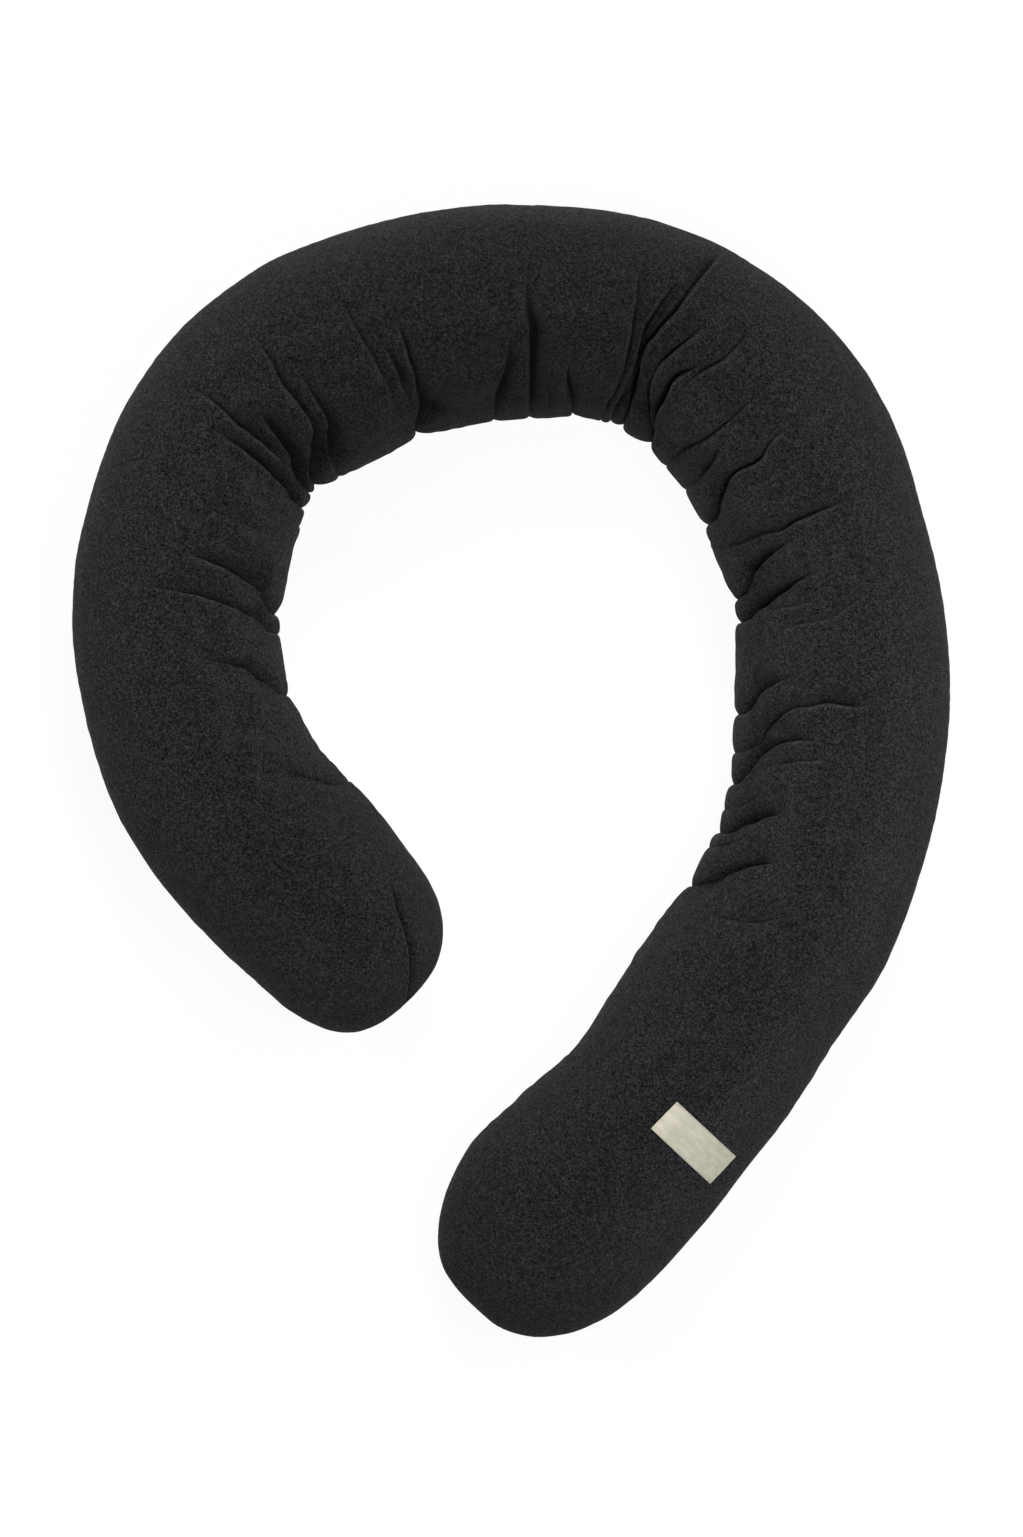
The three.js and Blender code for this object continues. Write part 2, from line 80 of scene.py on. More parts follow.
# Millimetres. The folds that the bend gathers on the inside of the loop, in order along the tube,
# one for each call. Lap: -1 where the puff before the fold rolls over it, 1 where the puff after
# it does. Pull: how strongly it is drawn in. Then the crease's course, as rows of across value,
# distance along, and width of the slope that dips under the lap. The across value is 1 at the
# inner edge of the loop, 0 on the middle line and -1 at the outer edge. Where the width is 0 the
# row only guides the grain of the cloth.
# Columns: lap, pull, [(across, along, width)]
FOLDS = [
    (-1, 0.8, [(0.95, 158, 4), (0.85, 172, 4), (0.75, 190, 4), (0.65, 209, 3), (0.55, 224, 0),
               (0.3, 236, 0), (0, 240, 0)]),
    (-1, 0.9, [(0.95, 280, 8), (0.9, 298, 8), (0.8, 309, 8), (0.7, 319, 8), (0.6, 325, 4),
               (0.4, 330, 3), (0.1, 337, 0)]),
    (-1, 1.0, [(0.95, 352, 6), (0.9, 362, 8), (0.8, 370, 7), (0.6, 378, 5), (0.4, 384, 5),
               (0.2, 388, 5), (0, 390, 3), (-0.2, 391, 2), (-0.4, 391, 0)]),
    (-1, 1.0, [(0.95, 373, 14), (0.9, 384, 15), (0.8, 399, 14), (0.7, 404, 13), (0.6, 408, 10),
               (0.4, 415, 7), (0.2, 419, 4), (0, 422, 0)]),
    (-1, 0.5, [(0.95, 418, 0), (0.8, 425, 0), (0.6, 430, 2), (0.5, 432, 3), (0.4, 435, 3),
               (0.2, 440, 2), (0.1, 441, 0)]),
    (-1, 0.5, [(0.95, 448, 0), (0.9, 452, 2), (0.6, 456, 3), (0.4, 459, 3), (0.2, 459, 2),
               (0, 462, 0)]),
    (-1, 0.5, [(0.95, 474, 3), (0.8, 481, 3), (0.6, 484, 2), (0.4, 486, 0)]),
    (-1, 0.9, [(0.97, 493, 9), (0.9, 501, 11), (0.8, 507, 13), (0.7, 510, 12), (0.6, 513, 10),
               (0.4, 517, 8), (0.2, 519, 5), (0, 519, 4), (-0.15, 519, 0)]),
    (-1, 1.0, [(0.97, 508, 0), (0.8, 525, 0), (0.7, 531, 0), (0.62, 534, 2), (0.5, 533, 7),
               (0.2, 532, 9), (0, 532, 6), (-0.2, 534, 4), (-0.4, 534, 3), (-0.6, 532, 0)]),
    (-1, 1.0, [(0.97, 519, 10), (0.93, 524, 11), (0.85, 533, 12), (0.78, 538, 12), (0.7, 543, 10),
               (0.6, 548, 8), (0.4, 550, 8), (0.2, 552, 5), (0.1, 553, 0)]),
    (-1, 1.15, [(0.97, 536, 14), (0.9, 556, 17), (0.8, 564, 13), (0.7, 569, 10), (0.6, 577, 7),
                (0.5, 582, 5), (0.2, 582, 6), (0, 582, 4), (-0.2, 585, 3), (-0.4, 586, 2),
                (-0.6, 585, 0)]),
    (-1, 0.7, [(0.97, 572, 6), (0.9, 580, 7), (0.8, 586, 9), (0.7, 590, 9), (0.6, 596, 7),
               (0.5, 598, 7), (0.2, 598, 4), (0, 598, 2), (-0.15, 598, 0)]),
    (-1, 0.9, [(0.97, 650, 0), (0.8, 657, 0), (0.6, 661, 2), (0.4, 660, 3), (0.2, 658, 4), (0, 655, 4),
               (-0.2, 653, 3), (-0.5, 650, 0)]),
    (-1, 1.0, [(0.97, 661, 0), (0.8, 669, 0), (0.65, 674, 1), (0.55, 673, 5), (0.4, 673, 5),
               (0.2, 671, 3), (0.1, 668, 1), (0, 667, 0)]),
    (-1, 1.25, [(0.97, 669, 12), (0.9, 676, 14), (0.8, 679, 13), (0.7, 680, 10), (0.6, 683, 8),
                (0.5, 685, 6), (0.2, 686, 4), (0, 686, 2), (-0.25, 685, 0)]),
    (-1, 0.7, [(0.97, 755, 5), (0.9, 758, 5), (0.8, 761, 8), (0.7, 766, 7), (0.6, 770, 6),
               (0.5, 772, 6), (0.4, 773, 3), (0.2, 773, 0)]),
    (-1, 1.1, [(0.97, 788, 4), (0.9, 789, 5), (0.6, 790, 7), (0.4, 791, 8), (0.2, 791, 7),
               (0.05, 789, 5), (-0.1, 788, 3), (-0.4, 791, 2), (-0.6, 791, 0)]),
    (-1, 0.5, [(0.97, 806, 0), (0.9, 806, 4), (0.75, 804, 4), (0.6, 802, 0)]),
    (-1, 1.1, [(0.97, 832, 6), (0.9, 826, 6), (0.8, 823, 5), (0.7, 822, 4), (0.6, 823, 2),
               (0.5, 824, 0)]),
    (-1, 1.1, [(0.97, 872, 3), (0.8, 877, 4), (0.6, 878, 5), (0.4, 877, 6), (0.2, 876, 5), (0, 874, 5),
               (-0.2, 872, 4), (-0.4, 869, 3), (-0.7, 869, 0)]),
    (-1, 1.2, [(0.97, 884, 6), (0.8, 884, 6), (0.6, 885, 6), (0.4, 885, 6), (0.2, 884, 5), (0, 885, 5),
               (-0.2, 888, 4), (-0.4, 892, 3), (-0.55, 893, 0)]),
    (1, 1.1, [(0.97, 902, 9), (0.8, 899, 9), (0.6, 897, 8), (0.4, 893, 7), (0.2, 893, 7), (0, 897, 7),
              (-0.2, 901, 6), (-0.4, 904, 5), (-0.8, 909, 4), (-0.95, 911, 0)]),
    (1, 1.0, [(0.97, 949, 14), (0.9, 936, 16), (0.8, 924, 14), (0.7, 917, 12), (0.6, 914, 9),
              (0.5, 912, 8), (0.4, 912, 8), (0.2, 913, 7), (0, 919, 5), (-0.2, 924, 3),
              (-0.3, 925, 0)]),
    (1, 1.0, [(0.97, 957, 0), (0.9, 944, 0), (0.85, 938, 0), (0.8, 933, 7), (0.7, 932, 8),
              (0.5, 929, 8), (0.4, 929, 8), (0.3, 931, 7), (0.2, 936, 4), (0.1, 938, 0)]),
    (1, 0.8, [(0.97, 966, 0), (0.9, 953, 0), (0.8, 944, 0), (0.4, 940, 0), (0.25, 941, 3),
              (0.15, 944, 5), (0, 949, 6), (-0.1, 952, 5), (-0.4, 953, 4), (-0.6, 952, 0)]),
    (1, 0.6, [(0.97, 979, 4), (0.85, 981, 6), (0.7, 986, 6), (0.6, 990, 6), (0.3, 991, 5), (0, 990, 4),
              (-0.2, 989, 3), (-0.35, 990, 0)]),
    (1, 0.4, [(0.97, 1019, 7), (0.9, 1017, 10), (0.8, 1014, 10), (0.7, 1011, 8), (0.6, 1006, 5),
              (0.5, 1003, 0)]),
    (1, 0.9, [(0.97, 1074, 8), (0.9, 1064, 12), (0.8, 1051, 12), (0.7, 1039, 8), (0.6, 1034, 6),
              (0.5, 1034, 6), (0.4, 1036, 7), (0.3, 1036, 7), (0.1, 1026, 3), (0, 1024, 3),
              (-0.15, 1025, 0)]),
    (1, 0.7, [(0.97, 1096, 0), (0.9, 1097, 3), (0.7, 1098, 5), (0.6, 1095, 5), (0.4, 1099, 6),
              (0.2, 1095, 7), (0, 1094, 7), (-0.2, 1093, 5), (-0.35, 1091, 0)]),
    (1, 1.0, [(0.97, 1147, 10), (0.9, 1136, 14), (0.85, 1130, 12), (0.8, 1127, 11), (0.7, 1121, 9),
              (0.6, 1115, 6), (0.5, 1112, 4), (0.4, 1110, 3), (0.2, 1107, 0)]),
    (1, 0.6, [(0.97, 1156, 0), (0.93, 1147, 2), (0.88, 1141, 3), (0.82, 1136, 3), (0.75, 1131, 2),
              (0.68, 1129, 0), (0.4, 1124, 0)]),
    (1, 1.0, [(0.97, 1172, 8), (0.9, 1167, 14), (0.8, 1161, 12), (0.7, 1157, 10), (0.6, 1151, 7),
              (0.5, 1147, 6), (0.4, 1143, 5), (0.2, 1139, 2), (0.1, 1139, 0)]),
    (1, 0.5, [(0.95, 1182, 0), (0.8, 1170, 0), (0.72, 1164, 3), (0.6, 1163, 4), (0.4, 1164, 4),
              (0.2, 1160, 3), (0.1, 1159, 0)]),
    (1, 0.5, [(0.9, 1192, 0), (0.6, 1184, 2), (0.4, 1181, 5), (0.2, 1180, 5), (0.05, 1178, 4),
              (-0.1, 1170, 3), (-0.35, 1165, 0)]),
    (1, 0.9, [(0.97, 1262, 8), (0.9, 1251, 11), (0.8, 1240, 9), (0.7, 1234, 5), (0.6, 1230, 3),
              (0.4, 1222, 1), (0.2, 1218, 0)]),
    (1, 0.9, [(0.97, 1300, 5), (0.85, 1284, 5), (0.75, 1272, 8), (0.6, 1260, 8), (0.5, 1255, 6),
              (0.4, 1252, 5), (0.2, 1250, 9), (0, 1250, 8), (-0.15, 1250, 4), (-0.3, 1249, 0)]),
    (1, 1.0, [(0.97, 1332, 8), (0.9, 1317, 14), (0.85, 1307, 14), (0.8, 1300, 12), (0.7, 1291, 8),
              (0.6, 1285, 7), (0.5, 1283, 7), (0.4, 1280, 4), (0.2, 1278, 0)]),
    (1, 0.5, [(0.97, 1343, 0), (0.9, 1327, 0), (0.8, 1314, 0), (0.7, 1308, 3), (0.6, 1304, 4),
              (0.4, 1300, 6), (0.2, 1296, 4), (0.1, 1294, 0)]),
    (1, 0.7, [(0.97, 1358, 3), (0.9, 1349, 4), (0.8, 1339, 3), (0.7, 1333, 1), (0.6, 1328, 0)]),
    (1, 1.0, [(0.97, 1383, 7), (0.9, 1374, 11), (0.8, 1366, 12), (0.7, 1358, 8), (0.6, 1350, 5),
              (0.5, 1347, 1), (0.4, 1345, 0)]),
    (1, 0.7, [(0.97, 1401, 3), (0.93, 1394, 4), (0.87, 1388, 3), (0.8, 1382, 1), (0.6, 1374, 0)]),
    (1, 0.8, [(0.97, 1452, 10), (0.93, 1440, 12), (0.85, 1425, 9), (0.75, 1413, 9), (0.65, 1403, 9),
              (0.6, 1399, 8), (0.5, 1394, 6), (0.4, 1389, 0)]),
    (1, 0.3, [(0.9, 1490, 0), (0.6, 1462, 0), (0.5, 1456, 3), (0.4, 1451, 8), (0.3, 1445, 10),
              (0.2, 1438, 9), (0.1, 1430, 4), (0, 1424, 0)]),
]
MM = 0.001

# The cross-section: height of its widest line, fullness of the half above and below that line
# (2 is an ellipse), and how far under the floor the lower half would reach. The floor presses it
# flat.
BELLY = 60 * MM
UPPER_FULL, LOWER_FULL = 2.15, 2.5
FLATTENED = 7 * MM

# The rounded ends: length and fullness.
LEFT_CAP = (88 * MM, 2.2)
LABEL_CAP = (103 * MM, 2.3)

# From the shoulder, an across value, to the widest line a fold loses all but the side share of its
# depth, and its lap and crease grow softer. Under that line it fades out over an angle.
SHOULDER, SIDE_SHARE = 0.82, 0.18
SIDE_SOFT = 6 * MM
FADE_UNDER = np.radians(70)

# The folds draw the cloth in twice, in the empty tube and again after the filling has swollen it,
# by so many times their size. A fold's size is its pull times its width, and less than that where
# the width isn't much more than the soft width.
DEPTH_SEWN, DEPTH_FILLED = 1.2, 1.5
SOFT_WIDTH = 1.6 * MM

# How far the slope of a fold and the lap beside it run: a share of its width, and a fixed part.
SLOPE_RUN, LAP_RUN = (0.8, 1.5 * MM), (0.3, 2.5 * MM)

# The mesh: steps of the middle line between two of its rows, and rings in a rounded end.
COURSE_STEPS, CAP_RINGS = 40, 14
# The gap between rings beside a crease, its growth with the distance from one, and its limit.
RINGS_FINE, RINGS_GROWTH, RINGS_COARSE = 1.9 * MM, 0.25, 6.5 * MM
# The samples that the rings between two creases are spaced in, and the fewest rings there.
SPACING_SAMPLES, LEAST_RINGS = 80, 3
# Steps round the tube: inner and outer quarter over the widest line, outer and inner under it.
QUARTER_STEPS = (20, 13, 7, 9)

# A crease's course is worked out at so many even across values and eased over so many of them.
ACROSS_VALUES, EASED_VALUES = 201, 25

# Metres: farther than anything on the cushion. Then a margin for rounding and against dividing
# by nothing.
FAR, TINY = 1.0, 1e-6


def smooth_course(rows, steps):
    """The rows joined by a smooth curve, as closely spaced rows."""
    ends = np.vstack([2 * rows[0] - rows[1], rows, 2 * rows[-1] - rows[-2]])
    t = np.arange(steps)[:, None] / steps
    spans = []
    for p, q, r, s in zip(ends, ends[1:], ends[2:], ends[3:]):
        bend = (2 * p - 5 * q + 4 * r - s) * t**2 + (3 * q - p - 3 * r + s) * t**3
        spans.append(q + 0.5 * ((r - p) * t + bend))
    return np.vstack([*spans, rows[-1:]])


line = smooth_course(np.array(COURSE, float) * MM, COURSE_STEPS)
line_along = np.append(0, np.cumsum(np.hypot(*np.diff(line[:, :2], axis=0).T)))
tube_length = line_along[-1]
heading = np.gradient(line[:, :2], axis=0)
heading /= np.hypot(*heading.T)[:, None]
line = np.column_stack([line, heading])

even_across = np.linspace(-1, 1, ACROSS_VALUES)
easing = np.hanning(EASED_VALUES)
easing /= easing.sum()


def eased(rows, column):
    """A column of a fold's rows at even across values, with its corners eased, in metres."""
    rows = np.array(sorted(rows))
    even = np.interp(even_across, rows[:, 0], rows[:, column])
    return np.convolve(np.pad(even, len(easing) // 2, mode="edge"), easing, "valid") * MM


folds = [(lap, pull, eased(rows, 1), eased(rows, 2)) for lap, pull, rows in FOLDS]


def middle_place(along):
    """x, y and heading of the middle line at distances along it."""
    return [np.interp(along, line_along, line[:, column]) for column in (0, 1, 4, 5)]


def section_size(along):
    """Half width and crown height of the tube at distances along it."""
    return [np.interp(along, line_along, line[:, column]) for column in (2, 3)]


def cap_scale(distance, cap):
    """Share of its full size that a section keeps at a distance from a tip."""
    length, fullness = cap
    gone = np.clip(1 - distance / length, 0, 1)
    return (1 - gone**fullness) ** (1 / fullness)


def side_share(across, angle):
    """Share of its depth that a fold keeps at a place."""
    t = np.clip((across - SHOULDER) / (1 - SHOULDER), 0, 1)
    above = 1 + (SIDE_SHARE - 1) * t * t * (3 - 2 * t)
    return np.where(angle < 0, SIDE_SHARE * np.clip(1 + angle / FADE_UNDER, 0, 1), above)


def side_soft(across):
    """How much wider the laps and creases are at a place, towards the widest line."""
    return SIDE_SOFT * np.clip((across - SHOULDER) / (1 - SHOULDER), 0, 1)


def beside(fold, along, across):
    """Distance from a fold's crease, positive on the slope that dips under the lap, the width of
    that slope, and the fold's size there, which falls faster than the width."""
    lap, pull, track, width = fold
    offset = (np.interp(across, even_across, track) - along) * lap
    width = np.interp(across, even_across, width)
    return offset, width, pull * width**2 / (width + SOFT_WIDTH)


def run_beside(width, run):
    """How far something runs beside a crease: a share of the fold's width, and a fixed part."""
    share, fixed = run
    return share * width + fixed


def section_place(along, angle):
    """Across value, level offset to the inside and height over the widest line on the smooth
    tube. The angle is 0 at the inner edge, a quarter turn at the crown and less than 0 under the
    inner edge."""
    half, crown = section_size(along)
    cap = np.minimum(cap_scale(along, LEFT_CAP), cap_scale(tube_length - along, LABEL_CAP))
    c, s = np.cos(angle), np.sin(angle)
    power = 2 / np.where(s >= 0, UPPER_FULL, LOWER_FULL)
    across = np.sign(c) * np.abs(c) ** power
    reach = np.where(s >= 0, crown - BELLY, -(BELLY + FLATTENED))
    return across, across * half * cap, reach * np.abs(s) ** power * cap


def tube_point(along, angle, draw):
    """The points of the tube, drawn in towards its core."""
    x, y, hx, hy = middle_place(along)
    side, height = section_place(along, angle)[1:]
    radius = np.maximum(np.hypot(side, height), TINY)
    keep = np.clip(1 - draw / radius, 0, 1)
    z = np.maximum(BELLY + height * keep, 0)
    return np.stack([x + hy * side * keep, y - hx * side * keep, z], axis=-1)


def fold_draw(along, across, angle):
    """How deep the folds draw the cloth in: a gentle slope on one side, a steep lap beside it."""
    total = np.zeros_like(along)
    for fold in folds:
        offset, width, size = beside(fold, along, across)
        slope = np.exp(-np.maximum(offset, 0) / run_beside(width, SLOPE_RUN))
        up_the_lap = np.clip(-offset / (run_beside(width, LAP_RUN) + side_soft(across)), 0, 1)
        lap = 1 - np.sqrt(1 - (1 - up_the_lap) ** 2)
        total += size * np.where(offset > 0, slope, lap)
    return total * side_share(across, angle)


def ring_lines(across):
    """Distance along of each ring at each of the across values. The rings follow the creases,
    with one on each crease, and lie closest beside them."""
    cap = 1 - np.cos(np.arange(1, CAP_RINGS) / CAP_RINGS * np.pi / 2)
    ones = np.ones_like(across)
    stops = [LEFT_CAP[0] * ones]
    stops += [np.interp(across, even_across, fold[2]) for fold in folds]
    stops.append((tube_length - LABEL_CAP[0]) * ones)
    rings = [LEFT_CAP[0] * share * ones for share in cap]
    for number, (start, end) in enumerate(zip(stops, stops[1:])):
        walk = np.linspace(0, 1, SPACING_SAMPLES)[:, None] * (end - start)
        before = walk if number > 0 else FAR
        after = end - start - walk if number < len(folds) else FAR
        away = np.minimum(before, after)
        step = np.minimum(RINGS_FINE + RINGS_GROWTH * away, RINGS_COARSE)
        count = np.cumsum(np.diff(walk, axis=0) / step[1:], axis=0)
        count = np.vstack([np.zeros_like(across), count])
        rings_here = max(round(count[-1].mean()), LEAST_RINGS)
        for ring in range(rings_here):
            share = ring / rings_here
            rings.append(start + [np.interp(share * c[-1], c, w) for c, w in zip(count.T, walk.T)])
    rings.append(stops[-1])
    rings += [tube_length - LABEL_CAP[0] * share * ones for share in cap[::-1]]
    return np.array(rings)


quarters = [(quarter + np.arange(steps) / steps) for quarter, steps in enumerate(QUARTER_STEPS)]
angles = np.concatenate(quarters) * np.pi / 2
signed = np.where(angles > 1.5 * np.pi - TINY, angles - 2 * np.pi, angles)
middle_across = section_place(np.full(len(angles), tube_length / 2), signed)[0]
along = ring_lines(middle_across)
angle = np.broadcast_to(signed, along.shape)
across = section_place(along, angle)[0]
points = tube_point(along, angle, DEPTH_SEWN * fold_draw(along, across, angle))
rings = len(along)
count = len(angles)

faces = []
for ring in range(1, rings):
    for i in range(count):
        j = (i + 1) % count
        a, b = (ring - 1) * count + i, (ring - 1) * count + j
        c, d = ring * count + i, ring * count + j
        faces.append((a, c, d, b))
tips = [tube_point(np.array([place]), np.zeros(1), 0)[0] for place in (0, tube_length)]
left_tip = rings * count
label_tip = left_tip + 1
last = (rings - 1) * count
for i in range(count):
    j = (i + 1) % count
    faces.append((left_tip, i, j))
    faces.append((label_tip, last + j, last + i))
body = np.vstack([points.reshape(-1, 3), *tips])

cover_mesh = bpy.data.meshes.new("cover")
cover_mesh.from_pydata(body.tolist(), [], faces)
cover = bpy.data.objects.new("cover", cover_mesh)
bpy.context.scene.collection.objects.link(cover)

# Each point keeps its distance along, its angle round the tube and its grain, which is where its
# ring crosses the crown, through the steps below.
station = np.column_stack([along.ravel(), np.cos(angle).ravel(), np.sin(angle).ravel()])
station = np.vstack([station, (0, 1, 0), (tube_length, 1, 0)])
kept = cover_mesh.attributes.new("station", "FLOAT_VECTOR", "POINT")
kept.data.foreach_set("vector", station.ravel())
grain = np.append(np.repeat(along[:, QUARTER_STEPS[0]], count), (0, tube_length))
kept = cover_mesh.attributes.new("grain", "FLOAT", "POINT")
kept.data.foreach_set("value", grain.astype(np.float32))


def mesh_points(mesh):
    """The mesh's points as rows."""
    flat = np.empty(len(mesh.vertices) * 3, np.float32)
    mesh.vertices.foreach_get("co", flat)
    return flat.reshape(-1, 3).astype(float)


def move_points(mesh, rows):
    """Moves the mesh's points."""
    mesh.vertices.foreach_set("co", rows.astype(np.float32).ravel())
    mesh.update()


def make_active(piece):
    """Selects one object alone."""
    bpy.ops.object.select_all(action="DESELECT")
    piece.select_set(True)
    bpy.context.view_layer.objects.active = piece


# The filling swells the cloth between the folds. The foot, the outer side, the ends and the fold
# lines are held; the puffs between them are free.
PRESSURE = 4
LAST_FRAME = 20
MOST_SWELL = 6 * MM
SLACK = -0.04

# How firmly the cloth is held, 1 being fixed. Under the inner edge the hold grows over so many
# degrees. On the outer and the inner side it grows to its full from an across value on and over
# so much more. At a crease and at the ends it fades out over a distance, and a crease narrower
# than the least width is held less. The last value is the hold of all the rest.
HELD_UNDER_OVER = 40
HELD_OUTER, OUTER_FROM, OUTER_OVER = 0.9, 0.1, 0.6
HELD_INNER, INNER_FROM, INNER_OVER = 0.45, 0.7, 0.25
HELD_SLOPE_RUN, HELD_LAP, HELD_LEAST_WIDTH = (0.8, 3 * MM), 2.5 * MM, 2 * MM
HELD_ENDS_OVER = 210 * MM
HELD_LEAST = 0.03


def held_share(along, across, angle):
    """How firmly each point is held: 1 is fixed."""
    under = np.clip(-np.degrees(angle) / HELD_UNDER_OVER, 0, 1)
    outer = HELD_OUTER * np.clip((OUTER_FROM - across) / OUTER_OVER, 0, 1)
    inner = HELD_INNER * np.clip((across - INNER_FROM) / INNER_OVER, 0, 1)
    crease = np.zeros_like(along)
    for fold in folds:
        offset, width = beside(fold, along, across)[:2]
        reach = np.where(offset > 0, run_beside(width, HELD_SLOPE_RUN), HELD_LAP)
        near = np.exp(-((offset / reach) ** 2))
        crease = np.maximum(crease, near * np.clip(width / HELD_LEAST_WIDTH, 0, 1))
    ends = np.exp(-((np.minimum(along, tube_length - along) / HELD_ENDS_OVER) ** 2))
    least = np.full_like(along, HELD_LEAST)
    return np.max([under, outer, inner, crease, ends, least], axis=0)


held = cover.vertex_groups.new(name="held")
shares = held_share(along, across, angle).ravel()
for index, share in enumerate(np.append(shares, (1, 1))):
    held.add([index], float(share), "REPLACE")
cloth = cover.modifiers.new("filling", "CLOTH")
cloth.settings.quality = 5
cloth.settings.mass = 0.15
cloth.settings.tension_stiffness = 12
cloth.settings.compression_stiffness = 12
cloth.settings.shear_stiffness = 4
cloth.settings.bending_stiffness = 0.3
cloth.settings.use_pressure = True
cloth.settings.uniform_pressure_force = PRESSURE
cloth.settings.shrink_min = SLACK
cloth.settings.effector_weights.gravity = 0
cloth.settings.vertex_group_mass = "held"
cloth.collision_settings.use_collision = False
cloth.point_cache.frame_start = 1
cloth.point_cache.frame_end = LAST_FRAME
for number in range(1, LAST_FRAME + 1):
    bpy.context.scene.frame_set(number)
swollen = cover.evaluated_get(bpy.context.evaluated_depsgraph_get()).to_mesh()
swell = mesh_points(swollen) - body
moved = np.linalg.norm(swell, axis=1)
swell *= (MOST_SWELL / np.maximum(moved, MOST_SWELL))[:, None]
cover.modifiers.remove(cloth)
cover.vertex_groups.clear()
bpy.context.scene.frame_set(1)
move_points(cover_mesh, body + swell)

make_active(cover)
finer = cover.modifiers.new("finer", "SUBSURF")
finer.levels = finer.render_levels = 1
bpy.ops.object.modifier_apply(modifier=finer.name)
cover_mesh = cover.data

# Millimetres. The seam that closes the left end: a curve over the end, seen from above.
# Columns: x, y
END_SEAM = [(-97, -86), (-96, -89), (-91.5, -102), (-88, -114), (-84, -126), (-81, -137),
            (-79, -150), (-79, -160), (-80, -172), (-82, -183), (-86, -193)]
SEAM_STEPS = 24
# The seam lies in a groove: its depth, and how far it runs to the outer and to the inner side. On
# the outer side it starts narrow, as a share of that, and widens along the seam.
SEAM_DEPTH, SEAM_WIDE, SEAM_STEEP = 5 * MM, 2.6 * MM, 0.9 * MM
SEAM_NARROW = 0.5
# It grows from just before its start, and fades out past its tips.
SEAM_BEFORE, SEAM_GROWS, SEAM_TIPS = 2 * MM, 26 * MM, 3 * MM
# The puckers across it: their spacing, height and reach, and how unevenly they are spaced.
PUCKER_PITCH, PUCKER_HEIGHT, PUCKER_REACH = 6.5 * MM, 0.45 * MM, 6 * MM
PUCKER_SWAY, PUCKER_SWAY_PITCH = 3, 17 * MM
# The left end of the tube: its points lie under this y, and within this distance along. The seam
# shapes the cloth so far aside, and the cloth beside it is cut finer so far.
LEFT_END_Y, LEFT_END_ALONG = -60 * MM, 200 * MM
SEAM_REACH, SEAM_FINE = 4 * PUCKER_REACH, 9 * MM
seam = smooth_course(np.array(END_SEAM, float) * MM, SEAM_STEPS)
seam_run = np.append(0, np.cumsum(np.hypot(*np.diff(seam, axis=0).T)))
seam_way = np.gradient(seam, axis=0)
seam_way /= np.hypot(*seam_way.T)[:, None]


def seam_offsets(rows):
    """For each point: how far along the end seam it is, how far aside (positive on the outer
    side), and how far past the seam's ends. Points away from the left end are far from it."""
    found = np.full((3, len(rows)), FAR)
    near = np.flatnonzero((rows[:, 1] < LEFT_END_Y) & (rows[:, 0] < 0))
    apart = rows[near, None, :2] - seam[None]
    closest = np.argmin((apart**2).sum(axis=2), axis=1)
    apart = apart[np.arange(len(closest)), closest]
    way = seam_way[closest]
    found[0, near] = seam_run[closest]
    found[1, near] = way[:, 0] * apart[:, 1] - way[:, 1] * apart[:, 0]
    found[2, near] = np.abs((way * apart).sum(axis=1))
    return found


# The cloth beside the seam is divided before it is shaped.
middles = np.array([face.center for face in cover_mesh.polygons])
aside, beyond = seam_offsets(middles)[1:]
beside_seam = (np.abs(aside) < SEAM_FINE) & (beyond < SEAM_FINE) & (middles[:, 2] > BELLY)
make_active(cover)
bpy.ops.object.mode_set(mode="EDIT")
bpy.ops.mesh.select_mode(type="FACE")
bpy.ops.mesh.select_all(action="DESELECT")
bpy.ops.object.mode_set(mode="OBJECT")
cover_mesh.polygons.foreach_set("select", beside_seam)
bpy.ops.object.mode_set(mode="EDIT")
bpy.ops.mesh.subdivide(number_cuts=3, smoothness=0.9)
bpy.ops.object.mode_set(mode="OBJECT")

# The crease itself: a narrow cut at the foot of the slope, in a wide shallow valley. Their depth is
# a share of the fold's size. The cut runs so far up the slope and the lap, and softens with them
# towards the sides.
CUT_DEPTH, CUT_SLOPE_RUN, CUT_LAP, CUT_SOFT = 0.5, (0.1, 1.6 * MM), 0.9 * MM, 0.4
VALLEY_DEPTH, VALLEY_RUN = 0.3, (1.4, 8 * MM)
# The rounded edge of the puff that laps over the cut is pushed out over it, by a share of the
# fold's size: it rises over the lap's edge and dies away past it.
LAP_PUSH, LAP_EDGE, LAP_PAST_RUN = 0.35, 1.2 * MM, (0.5, 2.5 * MM)

# Light and shade painted into the cover's colour, as one factor that multiplies it. The first value
# holds where the tube runs along y, and the second sets its two ways of running along x apart. Where
# it runs along x it is darker, most of all on the inner side: painted shade. Close to the widest line
# it is lighter: a painted highlight along the rims.
PAINTED_TONE_ALONG_Y, PAINTED_TONE_LEAN, PAINTED_SHADE_ALONG_X, PAINTED_SHADE_INSIDE = 1.08, 0.06, 0.29, 0.45
PAINTED_RIM_LIGHT, PAINTED_RIM_FROM = 0.5, 0.84
# Beside a crease painted shade darkens the cut and the valley, and a painted highlight lightens the
# lap's rolled edge, in full where the fold has a size of so much or more.
PAINTED_FULL_SIZE = 5.5 * MM
PAINTED_CREASE_SHADE, CREASE_SHADE_RUN, CREASE_SHADE_LAP = 0.7, (0.65, 1.0 * MM), 0.5 * MM
PAINTED_VALLEY_SHADE = 0.14
PAINTED_EDGE_LIGHT, EDGE_LIGHT_AWAY, EDGE_LIGHT_SHARE, EDGE_LIGHT_WIDE = 1.3, 2.1 * MM, 0.05, 1.2 * MM
